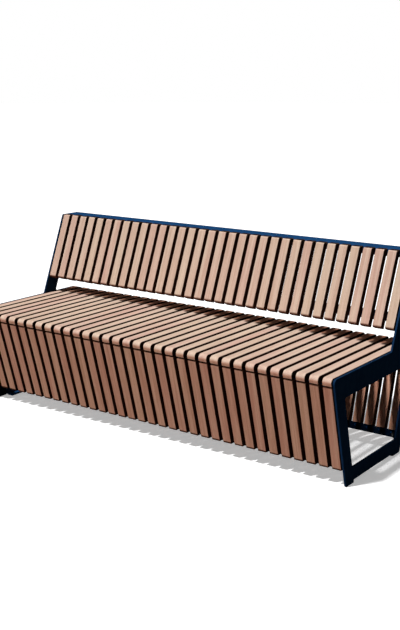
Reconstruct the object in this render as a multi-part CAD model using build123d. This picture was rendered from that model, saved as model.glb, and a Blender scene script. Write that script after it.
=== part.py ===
from build123d import *
from math import cos, radians, sin, tan
import os

# Slatted bench with a backrest: two flat steel side frames, steel beams and rails between them, timber slats.
# Millimetres, +Z up, +X along the bench, +Y towards the back.
# Everything is drawn about the middle of the base, and then moved so that the origin lies on the floor
# at the middle of the bench's box.

# Slats
bench_length = 1880         # over the side frames
slat_count = 34
slat_width = 39
slat_thickness = 30
nose_radius = 16            # ends of a seat slat, and the frame's corners beside them
back_slat_radius = 10       # upper front edge of a backrest slat
seat_skirt_gap = 6          # open joint between a seat slat and the skirt slat below it
skirt_clearance = 69        # floor to the lower edge of the skirts
back_clearance = 80         # seat to the lower edge of the backrest

# Side frames
plate_thickness = 8
plate_gap = 5               # between a frame and the slat beside it
seat_height = 450
base_depth = 704            # corner to corner at the seat
side_lean = 15              # degrees, front and rear edges of the base
leg_width = 62
seat_bar_height = 88
floor_bar_height = 56
foot_length = 62
foot_height = 12
foot_radius = 10
window_radius = 8
seat_depth = 470            # front corner of the base to the foot of the upright
recline = 22                # degrees, backrest
upright_width = 74
upright_radius = 8
bench_height = 824
hook_radius = 18            # under the head that carries the top rail

# Backrest top rail, a folded channel open below
top_rail_depth = 80
top_rail_height = 30
top_rail_sheet = 4

# Backrest lower rail, a folded angle open below
lower_rail_height = 40
lower_rail_depth = 30
lower_rail_sheet = 4
lower_rail_offset = 35      # lower end of the slats to the rail

# Corner beams, folded angles that carry the seat and the skirts
corner_beam_leg = 56
corner_beam_sheet = 5

# Skirt rails, flat bars with an end plate that reaches inwards
skirt_rail_height = 30
skirt_rail_thickness = 8
skirt_rail_drop = 7         # below the slats' lower ends
skirt_rail_tab = 22         # end plate beyond the bar

# Joints between the rails and the frames: slotted end plates drop over weld studs and are held by nuts
bend_radius = 3             # inside radius of folded sheet
end_plate_thickness = 6
stud_diameter = 10
stud_projection = 4         # beyond the nut
slot_clearance = 1
nut_width = 16              # across flats
nut_height = 8
thread_clearance = 0.2

# Anchor lugs, folded angles on the inner side of the frames
lug_length = 71
lug_reach = 38
lug_height = 46
lug_sheet = 6
lug_offset = 5              # foot to lug
anchor_hole = 12

# Sizes that follow from those above
inner_half = bench_length / 2 - plate_thickness
slat_row = 2 * (inner_half - plate_gap)
slat_pitch = (slat_row - slat_width) / (slat_count - 1)
seat_underside = seat_height - slat_thickness
skirt_top = seat_underside - seat_skirt_gap
back_bottom = seat_height + back_clearance
window_bottom = foot_height + floor_bar_height
window_top = seat_height - seat_bar_height


def front_face(z, inset=0):
    """Depth position of the base's front face at a height, or of a plane that lies inset behind it."""
    rise = (seat_height - z) * tan(radians(side_lean))
    return -base_depth / 2 + rise + inset / cos(radians(side_lean))


def back_face(z, inset=0):
    """Depth position of the backrest's front face at a height, or of a plane that lies inset behind it."""
    run = (z - seat_height) * tan(radians(recline))
    return -base_depth / 2 + seat_depth + run + inset / cos(radians(recline))


def leaning(start, lean, along, inset):
    """Point on a leaning slat: along it from its lower front corner, and inset behind its front face."""
    angle = radians(lean)
    y = start[0] + along * sin(angle) + inset * cos(angle)
    z = start[1] + along * cos(angle) - inset * sin(angle)
    return (y, z)


def on_back(along, inset):
    """Point on a backrest slat."""
    return leaning((back_face(back_bottom), back_bottom), recline, along, inset)


def on_skirt(along, inset):
    """Point on a front skirt slat."""
    return leaning((front_face(skirt_clearance), skirt_clearance), -side_lean, along, inset)


top_rail_front = back_face(bench_height, slat_thickness)
top_rail_rear = top_rail_front + top_rail_depth
nose_setback = nose_radius / tan(radians(90 - side_lean) / 2) - nose_radius
box_middle = (front_face(seat_height) + nose_setback + top_rail_rear) / 2


def face(points, radius=0):
    """Flat face inside a closed outline with rounded corners."""
    return make_face(FilletPolyline(*points, radius=radius, close=True))


def along_x(sketch, start, length):
    """Solid with a depth and height sketch as its section, running along the bench."""
    return extrude(Plane.YZ.offset(start) * sketch, amount=length)


def to_rear(solid):
    """The same piece on the other side of the base's middle."""
    return mirror(solid, Plane.XZ)


def side_frame(start):
    """One flat plate: a loop with two feet, a window and the leaning upright with its hooked head."""
    foot_end = front_face(0) + foot_length
    head_low = bench_height - top_rail_height
    outline = [
        (front_face(seat_height), seat_height, nose_radius),
        (back_face(seat_height), seat_height, upright_radius),
        (back_face(bench_height), bench_height, upright_radius),
        (top_rail_rear, bench_height, upright_radius),
        (top_rail_rear, head_low, upright_radius),
        (back_face(head_low, upright_width), head_low, hook_radius),
        (back_face(seat_height, upright_width), seat_height, upright_radius),
        (-front_face(seat_height), seat_height, nose_radius),
        (-front_face(0), 0, foot_radius),
        (-foot_end, 0, 0),
        (-foot_end, foot_height, 0),
        (foot_end, foot_height, 0),
        (foot_end, 0, 0),
        (front_face(0), 0, foot_radius),
    ]
    window = [
        (front_face(window_top, leg_width), window_top),
        (-front_face(window_top, leg_width), window_top),
        (-front_face(window_bottom, leg_width), window_bottom),
        (front_face(window_bottom, leg_width), window_bottom),
    ]
    points = [(y, z) for y, z, corner in outline]
    corners = [corner for y, z, corner in outline]
    return along_x(face(points, corners) - face(window, window_radius), start, plate_thickness)


def slat(points, radius):
    """A timber slat at the middle of the bench."""
    return along_x(face(points, radius), -slat_width / 2, slat_width)


def seat_slat():
    """A slat of the seat, with a rounded nose at each end."""
    points = [
        (front_face(seat_underside), seat_underside),
        (front_face(seat_height), seat_height),
        (-front_face(seat_height), seat_height),
        (-front_face(seat_underside), seat_underside),
    ]
    return slat(points, [0, nose_radius, nose_radius, 0])


def back_slat():
    """A slat of the backrest, cut level at the top and square at the bottom."""
    points = [
        on_back(0, 0),
        (back_face(bench_height), bench_height),
        (back_face(bench_height, slat_thickness), bench_height),
        on_back(0, slat_thickness),
    ]
    return slat(points, [0, back_slat_radius, 0, 0])


def skirt_slat():
    """A slat of the front skirt, cut level at both ends."""
    points = [
        (front_face(skirt_clearance), skirt_clearance),
        (front_face(skirt_top), skirt_top),
        (front_face(skirt_top, slat_thickness), skirt_top),
        (front_face(skirt_clearance, slat_thickness), skirt_clearance),
    ]
    return slat(points, 0)


def slat_places():
    """Middles of the slats along the bench."""
    first = -slat_pitch * (slat_count - 1) / 2
    return [first + slat_pitch * index for index in range(slat_count)]


def row(solid):
    """One slat repeated along the bench."""
    return Compound([Pos(x, 0, 0) * solid for x in slat_places()])


def member(section, end_plate, stud):
    """A beam or rail between the frames, with a plate at each end that is slotted to drop over a stud."""
    y, z = stud
    width = stud_diameter + slot_clearance
    depth = z - end_plate.bounding_box().min.Y
    slot = Pos(y, z - depth / 2 + width / 4) * Rectangle(width, depth + width / 2)
    plate_start = inner_half - end_plate_thickness
    bar = along_x(section, -plate_start, 2 * plate_start)
    left = along_x(end_plate - slot, -inner_half, end_plate_thickness)
    right = along_x(end_plate - slot, plate_start, end_plate_thickness)
    return bar + left + right


def top_rail():
    """Folded channel behind the slats' upper ends, level with them on top. Returns it and its stud's place."""
    low = bench_height - top_rail_height
    under = bench_height - top_rail_sheet
    inset = slat_thickness + top_rail_sheet
    outer_bend = bend_radius + top_rail_sheet
    outer = [
        (back_face(low, slat_thickness), low),
        (top_rail_front, bench_height),
        (top_rail_rear, bench_height),
        (top_rail_rear, low),
    ]
    inner = [
        (top_rail_rear - top_rail_sheet, low),
        (top_rail_rear - top_rail_sheet, under),
        (back_face(under, inset), under),
        (back_face(low, inset), low),
    ]
    outer_corners = [0, outer_bend, outer_bend, 0]
    section = face(outer + inner, outer_corners + [0, bend_radius, bend_radius, 0])
    middle = (back_face(low, inset) + top_rail_rear - top_rail_sheet) / 2
    stud = (middle, (low + under) / 2)
    return member(section, face(outer, outer_corners), stud), stud


def lower_rail():
    """Folded angle behind the slats' lower ends, leaning with them. Returns it and its stud's place."""
    low = lower_rail_offset
    high = low + lower_rail_height
    under = high - lower_rail_sheet
    near = slat_thickness
    inset = near + lower_rail_sheet
    far = near + lower_rail_depth
    outer_bend = bend_radius + lower_rail_sheet
    angle = [
        on_back(low, near),
        on_back(high, near),
        on_back(high, far),
        on_back(under, far),
        on_back(under, inset),
        on_back(low, inset),
    ]
    plate = angle[:3] + [on_back(low, far)]
    stud = on_back((low + under) / 2, (inset + far) / 2)
    section = face(angle, [0, outer_bend, 0, 0, bend_radius, 0])
    return member(section, face(plate, [0, outer_bend, 0, 0]), stud), stud


def corner_beam():
    """Folded angle under the seat slats' front ends and behind the skirt. Returns it and its stud's place."""
    near = slat_thickness
    inset = near + corner_beam_sheet
    high = seat_underside
    under = high - corner_beam_sheet
    low = high - corner_beam_leg
    end = front_face(high, near) + corner_beam_leg
    outer_bend = bend_radius + corner_beam_sheet
    angle = [
        (front_face(low, near), low),
        (front_face(high, near), high),
        (end, high),
        (end, under),
        (front_face(under, inset), under),
        (front_face(low, inset), low),
    ]
    plate = angle[:3] + [(end, low)]
    level = (low + under) / 2
    stud = ((front_face(level, inset) + end) / 2, level)
    section = face(angle, [0, outer_bend, 0, 0, bend_radius, 0])
    return member(section, face(plate, [0, outer_bend, 0, 0]), stud), stud


def skirt_rail():
    """Flat bar behind the front skirt's lower ends. Returns it and its stud's place."""
    low = -slat_thickness * tan(radians(side_lean)) - skirt_rail_drop
    high = low + skirt_rail_height
    near = slat_thickness
    inset = near + skirt_rail_thickness
    far = inset + skirt_rail_tab
    bar = [on_skirt(low, near), on_skirt(high, near), on_skirt(high, inset), on_skirt(low, inset)]
    plate = [on_skirt(low, near), on_skirt(high, near), on_skirt(high, far), on_skirt(low, far)]
    stud = on_skirt((low + high) / 2, (inset + far) / 2)
    return member(face(bar), face(plate), stud), stud


def fasteners(section, studs, start, length):
    """One fastener at each stud of a frame, as separate solids."""
    return Compound([along_x(Pos(y, z) * section, start, length) for y, z in studs])


def anchor_lug():
    """Folded angle on the inner side of the right frame, behind its front foot, drilled for a ground anchor."""
    outer_bend = bend_radius + lug_sheet
    outline = [
        (inner_half, 0),
        (inner_half, lug_height),
        (inner_half - lug_sheet, lug_height),
        (inner_half - lug_sheet, lug_sheet),
        (inner_half - lug_reach, lug_sheet),
        (inner_half - lug_reach, 0),
    ]
    start = front_face(0) + foot_length + lug_offset
    section = face(outline, [outer_bend, 0, 0, bend_radius, 0, 0])
    angle = extrude(Plane.XZ.offset(-start) * section, amount=-lug_length)
    hole_x = inner_half - (lug_reach + lug_sheet) / 2
    hole = Pos(hole_x, start + lug_length / 2, 0) * Cylinder(anchor_hole / 2, 4 * lug_sheet)
    return angle - hole


def to_left(solid):
    """The same piece at the other end of the bench."""
    return mirror(solid, Plane.YZ)


def save(name, solid):
    """Writes a piece, moved from the middle of the base to the middle of the bench's box."""
    export_step(Pos(0, -box_middle, 0) * solid, f"parts/{name}.step")


os.makedirs("parts", exist_ok=True)

# Side frames
save("left_side_frame", side_frame(-inner_half - plate_thickness))
save("right_side_frame", side_frame(inner_half))

# Slats
one_seat_slat = seat_slat()
for number, place in enumerate(slat_places(), start=1):
    save(f"seat_slat_{number:02d}", Pos(place, 0, 0) * one_seat_slat)
front_skirt = row(skirt_slat())
save("backrest_slats", row(back_slat()))
save("front_skirt_slats", front_skirt)
save("rear_skirt_slats", to_rear(front_skirt))

# Beams and rails
top_channel, top_stud = top_rail()
lower_angle, lower_stud = lower_rail()
corner_angle, corner_stud = corner_beam()
skirt_bar, skirt_stud = skirt_rail()
save("backrest_top_rail", top_channel)
save("backrest_lower_rail", lower_angle)
save("front_corner_beam", corner_angle)
save("rear_corner_beam", to_rear(corner_angle))
save("front_skirt_rail", skirt_bar)
save("rear_skirt_rail", to_rear(skirt_bar))

# Weld studs on the frames, with the nuts that clamp the end plates
rear_studs = [(-y, z) for y, z in (corner_stud, skirt_stud)]
all_studs = [top_stud, lower_stud, corner_stud, skirt_stud] + rear_studs
nut_start = inner_half - end_plate_thickness - nut_height
stud_length = end_plate_thickness + nut_height + stud_projection
stud_section = Circle(stud_diameter / 2)
nut_bore = Circle((stud_diameter + thread_clearance) / 2)
nut_section = RegularPolygon(nut_width / 2, 6, major_radius=False) - nut_bore
right_studs = fasteners(stud_section, all_studs, inner_half - stud_length, stud_length)
right_nuts = fasteners(nut_section, all_studs, nut_start, nut_height)
save("right_weld_studs", right_studs)
save("right_nuts", right_nuts)
save("left_weld_studs", to_left(right_studs))
save("left_nuts", to_left(right_nuts))

# Anchor lugs
lug = anchor_lug()
save("front_right_anchor_lug", lug)
save("front_left_anchor_lug", to_left(lug))
save("rear_right_anchor_lug", to_rear(lug))
save("rear_left_anchor_lug", to_left(to_rear(lug)))
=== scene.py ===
"""Dresses the slatted bench: timber slats, coated steel, plated fasteners, and a plain studio."""
import logging
from dataclasses import dataclass
from enum import Enum
from math import atan2, cos, pi, radians, sin, tan
from typing import ClassVar

import bmesh
import bpy
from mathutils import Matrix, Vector

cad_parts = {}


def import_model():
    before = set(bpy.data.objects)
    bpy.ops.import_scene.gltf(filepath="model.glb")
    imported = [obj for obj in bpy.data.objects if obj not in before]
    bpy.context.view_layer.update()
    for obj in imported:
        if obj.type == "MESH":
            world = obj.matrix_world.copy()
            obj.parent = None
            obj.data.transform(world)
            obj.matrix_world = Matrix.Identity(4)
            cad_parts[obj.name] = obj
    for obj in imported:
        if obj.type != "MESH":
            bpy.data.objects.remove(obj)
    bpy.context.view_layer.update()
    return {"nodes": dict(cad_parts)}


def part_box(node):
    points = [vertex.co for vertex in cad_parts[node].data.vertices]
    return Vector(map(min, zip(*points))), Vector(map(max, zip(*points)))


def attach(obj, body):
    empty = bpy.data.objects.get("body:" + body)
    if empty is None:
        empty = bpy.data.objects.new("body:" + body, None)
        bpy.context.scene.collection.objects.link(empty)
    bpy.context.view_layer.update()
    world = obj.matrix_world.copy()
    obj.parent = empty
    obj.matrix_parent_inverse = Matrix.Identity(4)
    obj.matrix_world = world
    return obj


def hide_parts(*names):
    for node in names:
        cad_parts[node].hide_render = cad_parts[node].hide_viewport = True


Colour = tuple[float, float, float, float]
Corner = tuple[float, float, float]
Flat = tuple[float, float]
Ring = tuple[list[float], list[float]]

LOG = logging.getLogger("bench")
BODY = "root"
SIDES = {"left": -1.0, "right": 1.0}
ENDS = ("front", "rear")
MERGE_DISTANCE = 0.00001
WHITE: Colour = (1.0, 1.0, 1.0, 1.0)


class Slot(Enum):
    """Material slots of the record."""

    TIMBER = "timber"
    COAT = "powder_coat"
    ZINC = "zinc_plate"


class Mark(Enum):
    """Attributes that the meshes carry for their finishes."""

    PLACE = "slat_place"
    TONE = "slat_tone"
    SHIFT = "slat_shift"
    SIDE = "slat_side"
    SKY = "slat_sky"
    EDGE = "edge"
    CUT = "cut_edge"
    INNER = "inner_face"


class Domain(Enum):
    """Parts of a mesh that an attribute has values for."""

    POINT = "POINT"
    FACE = "FACE"


class Socket(Enum):
    """Kinds of socket that the node trees use."""

    SHAPE = "NodeSocketGeometry"
    NUMBER = "NodeSocketFloat"
    COUNT = "NodeSocketInt"
    VECTOR = "NodeSocketVector"
    COLOUR = "NodeSocketColor"
    OBJECT = "NodeSocketObject"
    MATERIAL = "NodeSocketMaterial"


class Wiring:
    """Adds nodes to one tree and joins them."""

    def __init__(self, tree: bpy.types.NodeTree) -> None:
        """Keeps the tree."""
        self.tree = tree

    def feed(self, socket: bpy.types.NodeSocket, value: object) -> None:
        """Joins another node's socket to an input, or sets the input to a value.

        Args:
            socket: The input.
            value: The other node's socket, or the value.
        """
        if isinstance(value, bpy.types.NodeSocket):
            self.tree.links.new(value, socket)
        else:
            socket.default_value = value

    def add(self, kind: str, inputs: dict | None = None, **settings: object) -> bpy.types.Node:
        """Adds a node.

        Args:
            kind: The node's type.
            inputs: Sockets or values for its inputs, by name or number.
            settings: Its properties.

        Returns:
            The node.
        """
        node = self.tree.nodes.new(kind)
        for name, value in settings.items():
            setattr(node, name, value)
        for key, value in (inputs or {}).items():
            self.feed(node.inputs[key], value)
        return node

    def maths(self, operation: str, first: object, second: object = 0.0) -> bpy.types.NodeSocket:
        """Result of a sum on two numbers."""
        return self.add("ShaderNodeMath", {0: first, 1: second}, operation=operation).outputs[0]

    def times(self, first: object, second: object) -> bpy.types.NodeSocket:
        """Product of two numbers."""
        return self.maths("MULTIPLY", first, second)

    def plus(self, first: object, second: object) -> bpy.types.NodeSocket:
        """Two numbers added."""
        return self.maths("ADD", first, second)

    def scaled(self, value: object, factor: float, start: float) -> bpy.types.NodeSocket:
        """Number times a factor, added to a start."""
        inputs = {0: value, 1: factor, 2: start}
        return self.add("ShaderNodeMath", inputs, operation="MULTIPLY_ADD").outputs[0]

    def vector(self, operation: str, first: object, second: object) -> bpy.types.NodeSocket:
        """Result of a sum on two vectors."""
        return self.add("ShaderNodeVectorMath", {0: first, 1: second}, operation=operation).outputs[0]

    def combine(self, x: object, y: object, z: object) -> bpy.types.NodeSocket:
        """Vector made of three numbers."""
        return self.add("ShaderNodeCombineXYZ", {0: x, 1: y, 2: z}).outputs[0]

    def parts(self, vector: object) -> bpy.types.NodeOutputs:
        """The three numbers of a vector."""
        return self.add("ShaderNodeSeparateXYZ", {0: vector}).outputs

    def mix(self, share: object, first: object, second: object, blend: str = "MIX") -> bpy.types.NodeSocket:
        """Mix of two colours."""
        inputs = {0: share, 6: first, 7: second}
        return self.add("ShaderNodeMix", inputs, data_type="RGBA", blend_type=blend).outputs[2]

    def noise(self, place: object, scale: float, detail: float = 2.0) -> bpy.types.NodeSocket:
        """Noise between 0 and 1, about 0.5."""
        inputs = {"Vector": place, "Scale": scale, "Detail": detail}
        return self.add("ShaderNodeTexNoise", inputs).outputs[0]

    def ease(self, value: object, low: float, high: float) -> bpy.types.NodeSocket:
        """Number that goes smoothly from 0 at low to 1 at high."""
        inputs = {0: value, 1: low, 2: high}
        return self.add("ShaderNodeMapRange", inputs, interpolation_type="SMOOTHSTEP").outputs[0]

    def random(self, low: float, high: float, seed: object) -> bpy.types.NodeSocket:
        """Random number for each element."""
        inputs = {2: low, 3: high, 8: seed}
        return self.add("FunctionNodeRandomValue", inputs, data_type="FLOAT").outputs[1]


class Group(Wiring):
    """A node group with named inputs and outputs."""

    def __init__(self, name: str, kind: str, inputs: dict[str, Socket], outputs: dict[str, Socket]) -> None:
        """Makes an empty group.

        Args:
            name: The group's name.
            kind: The tree's type.
            inputs: Its inputs' names and kinds.
            outputs: Its outputs' names and kinds.
        """
        super().__init__(bpy.data.node_groups.new(name, kind))
        self.keys: dict[str, str] = {}
        for title, socket in inputs.items():
            made = self.tree.interface.new_socket(title, in_out="INPUT", socket_type=socket.value)
            self.keys[title] = made.identifier
        for title, socket in outputs.items():
            self.tree.interface.new_socket(title, in_out="OUTPUT", socket_type=socket.value)
        self.given = self.add("NodeGroupInput").outputs
        self.result = self.add("NodeGroupOutput").inputs

    def close(self, shape: bpy.types.NodeSocket) -> None:
        """Ends a geometry tree in plain geometry with the finish that it was given.

        Args:
            shape: What the tree made.
        """
        plain = self.add("GeometryNodeRealizeInstances", {0: shape}).outputs[0]
        inputs = {"Geometry": plain, "Material": self.given["Finish"]}
        self.feed(self.result[0], self.add("GeometryNodeSetMaterial", inputs).outputs[0])

    def run(self, holder: bpy.types.Object, values: dict[str, object]) -> None:
        """Applies a geometry tree to an object, which then holds the result as a plain mesh.

        Args:
            holder: The object whose mesh goes in.
            values: The tree's inputs by name.
        """
        modifier = holder.modifiers.new(self.tree.name, "NODES")
        modifier.node_group = self.tree
        for title, value in values.items():
            modifier[self.keys[title]] = value
        settle(holder)


def settle(holder: bpy.types.Object) -> None:
    """Turns an object with its modifiers into a plain mesh.

    Args:
        holder: The object, which loses its modifiers.
    """
    depsgraph = bpy.context.evaluated_depsgraph_get()
    evaluated = holder.evaluated_get(depsgraph)
    mesh = bpy.data.meshes.new_from_object(evaluated, preserve_all_data_layers=True, depsgraph=depsgraph)
    holder.modifiers.clear()
    old = holder.data
    holder.data = mesh
    bpy.data.meshes.remove(old)
    mesh.name = holder.name


def new_object(name: str, shape: bmesh.types.BMesh) -> bpy.types.Object:
    """Links a new object made from a bmesh.

    Args:
        name: The object's name.
        shape: Its shape, which is freed.

    Returns:
        The object.
    """
    mesh = bpy.data.meshes.new(name)
    shape.to_mesh(mesh)
    shape.free()
    made = bpy.data.objects.new(name, mesh)
    bpy.context.scene.collection.objects.link(made)
    return made


def join(name: str, parts: list[bpy.types.Object]) -> bpy.types.Object:
    """Joins plain meshes into one piece.

    Args:
        name: The piece's name.
        parts: The parts, which go into it.

    Returns:
        The piece.
    """
    with bpy.context.temp_override(active_object=parts[0], selected_editable_objects=parts):
        bpy.ops.object.join()
    parts[0].name = name
    parts[0].data.name = name
    return parts[0]


def store(mesh: bpy.types.Mesh, mark: Mark, values: list[float], domain: Domain = Domain.POINT) -> None:
    """Stores a number for each point or face of a mesh."""
    mesh.attributes.new(mark.value, "FLOAT", domain.value).data.foreach_set("value", values)


def enlist(piece: bpy.types.Object, nodes: list[str]) -> None:
    """Ties a finished piece to the frame and reports it.

    Args:
        piece: The piece.
        nodes: The CAD nodes that it stands for.
    """
    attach(piece, BODY)
    if nodes:
        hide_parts(*nodes)
    LOG.info("%s: %d faces for %d nodes", piece.name, len(piece.data.polygons), len(nodes))


def level_ring(count: int, radius: float, height: float) -> Ring:
    """Radii and heights of a round ring of points."""
    return ([radius] * count, [height] * count)


def skin(shape: bmesh.types.BMesh, rows: list[list[bmesh.types.BMVert]]) -> None:
    """Joins closed rows of points, each to the next, with four-sided faces.

    Args:
        shape: The shape that the points are in.
        rows: Rows with as many points each.
    """
    for low, high in zip(rows, rows[1:]):
        for k in range(len(low)):
            after = (k + 1) % len(low)
            shape.faces.new((low[k], low[after], high[after], high[k]))


def lathe(rings: list[Ring]) -> bmesh.types.BMesh:
    """Closed shape about the Z axis from rings of radii and heights, from its lower end to its upper end.

    Args:
        rings: For each ring, the radii and the heights of its points.

    Returns:
        The shape.
    """
    shape = bmesh.new()
    rows = []
    for radii, heights in rings:
        count = len(radii)
        angles = [2 * pi * k / count for k in range(count)]
        rows.append([
            shape.verts.new((radius * cos(angle), radius * sin(angle), height))
            for radius, height, angle in zip(radii, heights, angles)
        ])
    skin(shape, rows)
    shape.faces.new(reversed(rows[0]))
    shape.faces.new(rows[-1])
    return shape


@dataclass(frozen=True)
class BenchLines:
    """Sizes of the bench in metres in the CAD frame, and the leaning faces that slats and rails follow."""

    seat_height: float = 0.450
    seat_depth: float = 0.470
    base_depth: float = 0.704
    base_middle: float = -0.0171567
    bench_height: float = 0.824
    back_bottom: float = 0.530
    skirt_bottom: float = 0.069
    skirt_top: float = 0.414
    side_lean: float = radians(15)
    recline: float = radians(22)
    slat_count: int = 34
    slat_pitch: float = 0.055
    slat_width: float = 0.039
    slat_thickness: float = 0.030
    top_rail_height: float = 0.030
    top_rail_depth: float = 0.080
    lower_rail_offset: float = 0.035
    lower_rail_height: float = 0.040
    lower_rail_depth: float = 0.030
    rail_sheet: float = 0.004
    beam_leg: float = 0.056
    beam_sheet: float = 0.005
    skirt_rail_thickness: float = 0.008
    frame_face: float = 0.932
    end_plate: float = 0.006

    @property
    def base_front(self) -> float:
        """Front corner of the base at the seat."""
        return self.base_middle - self.base_depth / 2

    @property
    def seat_underside(self) -> float:
        """Height of the seat slats' lower faces."""
        return self.seat_height - self.slat_thickness

    @property
    def beam_corner(self) -> float:
        """Depth of the front beam's corner, under the seat and behind the skirt."""
        return self.front_face(self.seat_underside, self.slat_thickness)

    @property
    def beam_under(self) -> float:
        """Height of the beams' inner faces under the seat."""
        return self.seat_underside - self.beam_sheet

    @property
    def beam_inset(self) -> float:
        """Inset of the beams' inner faces behind the skirts."""
        return self.slat_thickness + self.beam_sheet

    @property
    def rail_inset(self) -> float:
        """Inset of the backrest rails' inner faces."""
        return self.slat_thickness + self.rail_sheet

    @property
    def skirt_rail_inset(self) -> float:
        """Inset of the skirt rails' inner faces."""
        return self.slat_thickness + self.skirt_rail_thickness

    def front_face(self, z: float, inset: float = 0.0) -> float:
        """Depth of the base's front face at a height, or of a plane inset behind it."""
        return self.base_front + (self.seat_height - z) * tan(self.side_lean) + inset / cos(self.side_lean)

    def back_face(self, z: float, inset: float = 0.0) -> float:
        """Depth of the backrest's front face at a height, or of a plane inset behind it."""
        run = (z - self.seat_height) * tan(self.recline)
        return self.base_front + self.seat_depth + run + inset / cos(self.recline)

    def on_back(self, along: float, inset: float) -> Flat:
        """Depth and height on a backrest slat, from its lower front corner."""
        y = self.back_face(self.back_bottom) + along * sin(self.recline) + inset * cos(self.recline)
        return (y, self.back_bottom + along * cos(self.recline) - inset * sin(self.recline))

    def on_skirt(self, along: float, inset: float) -> Flat:
        """Depth and height on a front skirt slat, from its lower front corner."""
        y = self.front_face(self.skirt_bottom) - along * sin(self.side_lean) + inset * cos(self.side_lean)
        return (y, self.skirt_bottom + along * cos(self.side_lean) + inset * sin(self.side_lean))

    def rear(self, point: Flat) -> Flat:
        """The same point on the other side of the base's middle."""
        return (2 * self.base_middle - point[0], point[1])


@dataclass(frozen=True)
class GrainLayer:
    """Noise drawn out along a slat, with the range that shows and its share of the deep colour."""

    squeeze: float
    scale: float
    detail: float
    shown: Flat
    share: float = 0.0

    def lay(self, wiring: Wiring, place: bpy.types.NodeSocket) -> bpy.types.NodeSocket:
        """Adds the layer's noise to a tree."""
        drawn_out = wiring.vector("MULTIPLY", place, (1.0, self.squeeze, 1.0))
        return wiring.noise(drawn_out, self.scale, self.detail)

    def mask(self, wiring: Wiring, noise: bpy.types.NodeSocket) -> bpy.types.NodeSocket:
        """Where the layer shows, from 0 to 1."""
        return wiring.ease(noise, *self.shown)


@dataclass(frozen=True)
class Grain:
    """Straight hardwood grain along a slat, with growth rings about the heart, fibres and pores."""

    broad: GrainLayer = GrainLayer(0.045, 62.0, 2.0, (0.25, 0.75), 0.42)
    streak: GrainLayer = GrainLayer(0.022, 210.0, 3.0, (0.3, 0.7), 0.34)
    fibre: GrainLayer = GrainLayer(0.02, 900.0, 2.0, (0.3, 0.7), 0.16)
    pore: GrainLayer = GrainLayer(0.035, 2300.0, 1.0, (0.62, 0.74), 0.45)
    slide: Corner = (3.1, 17.0, 5.3)
    heart_swing: float = 0.16
    heart_depth: float = 0.05
    heart_climb: float = 0.02
    ring_turns: float = 1150.0
    ring_sway: float = 9.0
    ring_shown: Flat = (-0.6, 1.0)
    ring_share: float = 0.16
    ring_height: float = 0.25
    fibre_height: float = 0.5
    blush_shown: Flat = (0.2, 0.62)
    pore_colour: Colour = (0.42, 0.31, 0.25, 1.0)
    roughness: float = 0.46
    streak_roughness: float = 0.16
    pore_roughness: float = 0.12

    def rings(self, group: Group, broad: bpy.types.NodeSocket) -> bpy.types.NodeSocket:
        """Adds the growth rings.

        Args:
            group: The grain's group.
            broad: The noise that makes the rings sway.

        Returns:
            Late wood, from 0 to 1.
        """
        across, along, deep = group.parts(group.given["Place"])
        swing = group.scaled(group.given["Shift"], self.heart_swing, -self.heart_swing / 2)
        across = group.maths("SUBTRACT", across, swing)
        deep = group.plus(group.plus(deep, self.heart_depth), group.times(along, self.heart_climb))
        from_heart = {0: group.combine(across, 0.0, deep)}
        reach = group.add("ShaderNodeVectorMath", from_heart, operation="LENGTH").outputs[1]
        turns = group.plus(group.times(reach, self.ring_turns), group.times(broad, self.ring_sway))
        return group.ease(group.maths("SINE", turns), *self.ring_shown)

    def build(self) -> Group:
        """Builds the grain's group.

        Returns:
            The group.
        """
        inputs = {"Place": Socket.VECTOR, "Shift": Socket.NUMBER, "Tone": Socket.NUMBER,
                  "Pale": Socket.COLOUR, "Deep": Socket.COLOUR, "Blush": Socket.COLOUR}
        outputs = {"Colour": Socket.COLOUR, "Height": Socket.NUMBER, "Roughness": Socket.NUMBER}
        group = Group("slat_grain", "ShaderNodeTree", inputs, outputs)
        given = group.given
        slide = group.vector("MULTIPLY", group.combine(*[given["Shift"]] * 3), self.slide)
        place = group.vector("ADD", given["Place"], slide)
        broad, streak, fibre, pore = (
            layer.lay(group, place) for layer in (self.broad, self.streak, self.fibre, self.pore)
        )
        ring = self.rings(group, broad)

        share = group.times(ring, self.ring_share)
        for layer, noise in ((self.broad, broad), (self.streak, streak), (self.fibre, fibre)):
            share = group.plus(share, group.times(layer.mask(group, noise), layer.share))
        colour = group.mix(share, given["Pale"], given["Deep"])
        blush = group.times(given["Tone"], group.ease(broad, *self.blush_shown))
        colour = group.mix(blush, colour, given["Blush"], "MULTIPLY")
        open_pore = self.pore.mask(group, pore)
        colour = group.mix(group.times(open_pore, self.pore.share), colour, self.pore_colour, "MULTIPLY")
        height = group.maths("SUBTRACT", group.times(fibre, self.fibre_height), open_pore)
        rough = group.times(streak, self.streak_roughness)
        rough = group.plus(rough, group.times(open_pore, self.pore_roughness))
        group.feed(group.result["Colour"], colour)
        group.feed(group.result["Height"], group.plus(height, group.times(ring, self.ring_height)))
        group.feed(group.result["Roughness"], group.plus(rough, self.roughness))
        return group


@dataclass(frozen=True)
class Wear:
    """Edges that hands and weather have rubbed, in patches."""

    patch_scale: float = 38.0
    patch_detail: float = 4.0
    patch_shown: Flat = (0.4, 0.66)
    edge_shown: Flat = (0.25, 0.95)

    def build(self) -> Group:
        """Builds the group that masks the wear.

        Returns:
            The group.
        """
        inputs = {"Place": Socket.VECTOR, "Edge": Socket.NUMBER, "Amount": Socket.NUMBER}
        group = Group("edge_wear", "ShaderNodeTree", inputs, {"Mask": Socket.NUMBER})
        noise = group.noise(group.given["Place"], self.patch_scale, self.patch_detail)
        patch = group.ease(noise, *self.patch_shown)
        mask = group.times(group.ease(group.given["Edge"], *self.edge_shown), patch)
        group.feed(group.result["Mask"], group.times(mask, group.given["Amount"]))
        return group


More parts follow.
